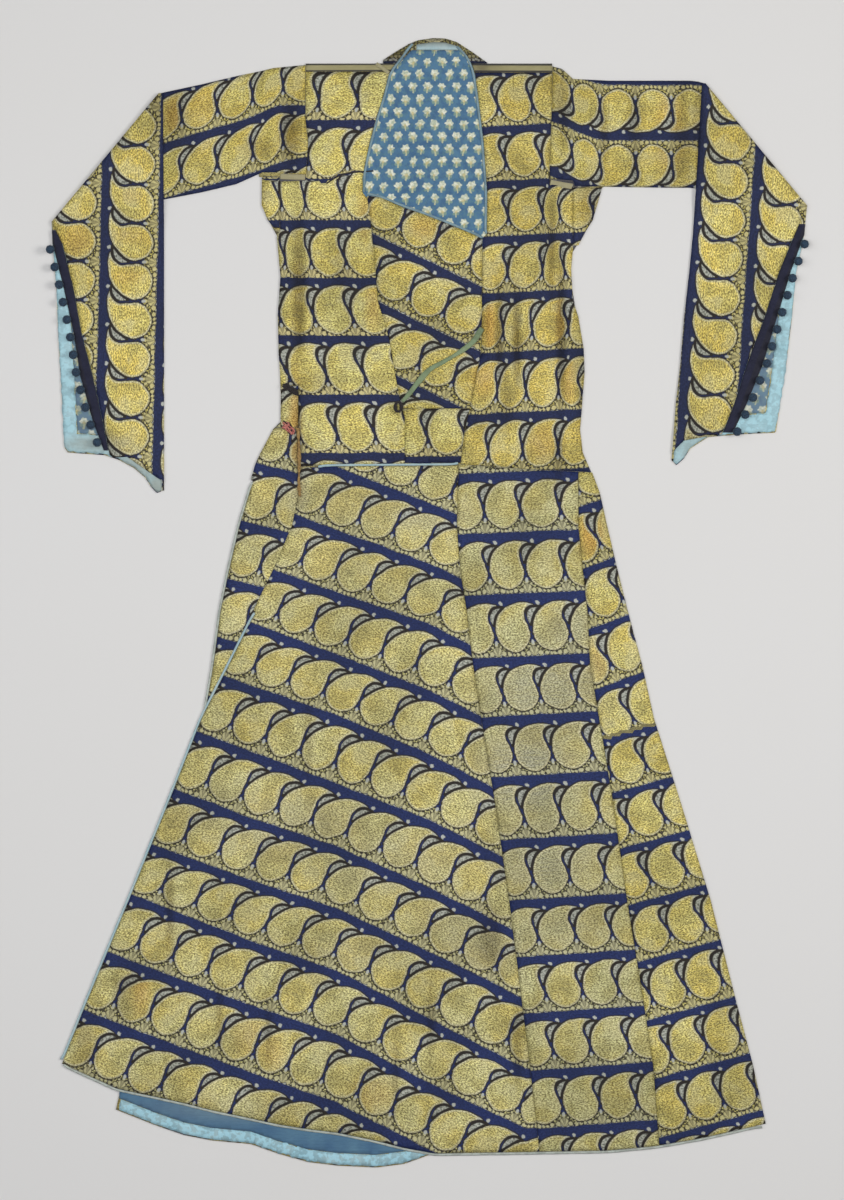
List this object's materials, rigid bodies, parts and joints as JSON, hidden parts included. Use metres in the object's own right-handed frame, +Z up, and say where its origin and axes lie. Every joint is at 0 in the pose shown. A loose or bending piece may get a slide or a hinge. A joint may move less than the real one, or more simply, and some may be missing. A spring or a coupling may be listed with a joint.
{
  "type": "caftan",
  "caption": "Long wrapped silk caftan laid out flat: flared skirt, open neck, one front lapped over the other and tied at the waist, sleeves turned down and slit at the wrist with ball buttons.",
  "frame": {"origin": "on the surface that the garment lies on, under the middle of its whole outline", "axes": "+Z up from that surface, +Y from the hem towards the collar, +X towards the wearer's left sleeve"},
  "size_m": [0.8466, 1.2542, 0.0147],
  "materials": {
    "brocade": "woven silk brocade with metal thread, gold botehs between navy bands",
    "brocade_back": "the same brocade, on the back",
    "printed_lining": "printed cotton, cream flowers on mid blue",
    "blue_lining": "plain blue cotton",
    "light_silk": "light blue silk",
    "khaki_silk": "plain khaki silk",
    "navy_silk": "navy silk braid",
    "button_thread": "dark blue thread worked over a ball",
    "green_silk": "flat green silk ribbon",
    "dark_thread": "dark twisted thread"
  },
  "bodies": {
    "root": {"front_right_bodice": "brocade", "skirt_right_under": "brocade", "gusset_right": "brocade", "front_left_bodice": "brocade", "overlap_upper": "brocade", "overlap_lower": "brocade", "skirt_left_overlap": "brocade", "skirt_left_panel": "brocade", "skirt_left_gore": "brocade", "gusset_left": "brocade", "collar_band": "brocade", "sleeve_right": "brocade", "sleeve_left": "brocade", "back_bodice": "brocade_back", "back_skirt": "brocade_back", "back_neck_lining": "printed_lining", "sleeve_lining_right": "printed_lining", "sleeve_lining_left": "printed_lining", "back_skirt_lining": "blue_lining", "collar_facing": "light_silk", "back_hem_facing": "light_silk", "neck_piping_right": "light_silk", "skirt_under_piping": "light_silk", "neck_piping_left": "light_silk", "overlap_neck_piping": "light_silk", "waist_piping": "light_silk", "skirt_overlap_piping": "light_silk", "hem_piping": "light_silk", "cuff_facing_right": "light_silk", "cuff_facing_left": "light_silk", "shoulder_strip_right": "khaki_silk", "shoulder_strip_left": "khaki_silk", "slit_band_right": "navy_silk", "slit_band_left": "navy_silk", "button_right_01": "button_thread", "button_right_02": "button_thread", "button_right_03": "button_thread", "button_right_04": "button_thread", "button_right_05": "button_thread", "button_right_06": "button_thread", "button_right_07": "button_thread", "button_right_08": "button_thread", "button_right_09": "button_thread", "button_right_10": "button_thread", "button_right_11": "button_thread", "button_right_12": "button_thread", "button_left_01": "button_thread", "button_left_02": "button_thread", "button_left_03": "button_thread", "button_left_04": "button_thread", "button_left_05": "button_thread", "button_left_06": "button_thread", "button_left_07": "button_thread", "button_left_08": "button_thread", "button_left_09": "button_thread", "button_left_10": "button_thread", "button_left_11": "button_thread", "button_left_12": "button_thread", "tie_ribbon": "green_silk", "tie_loop": "dark_thread"}
  },
  "joints": []
}
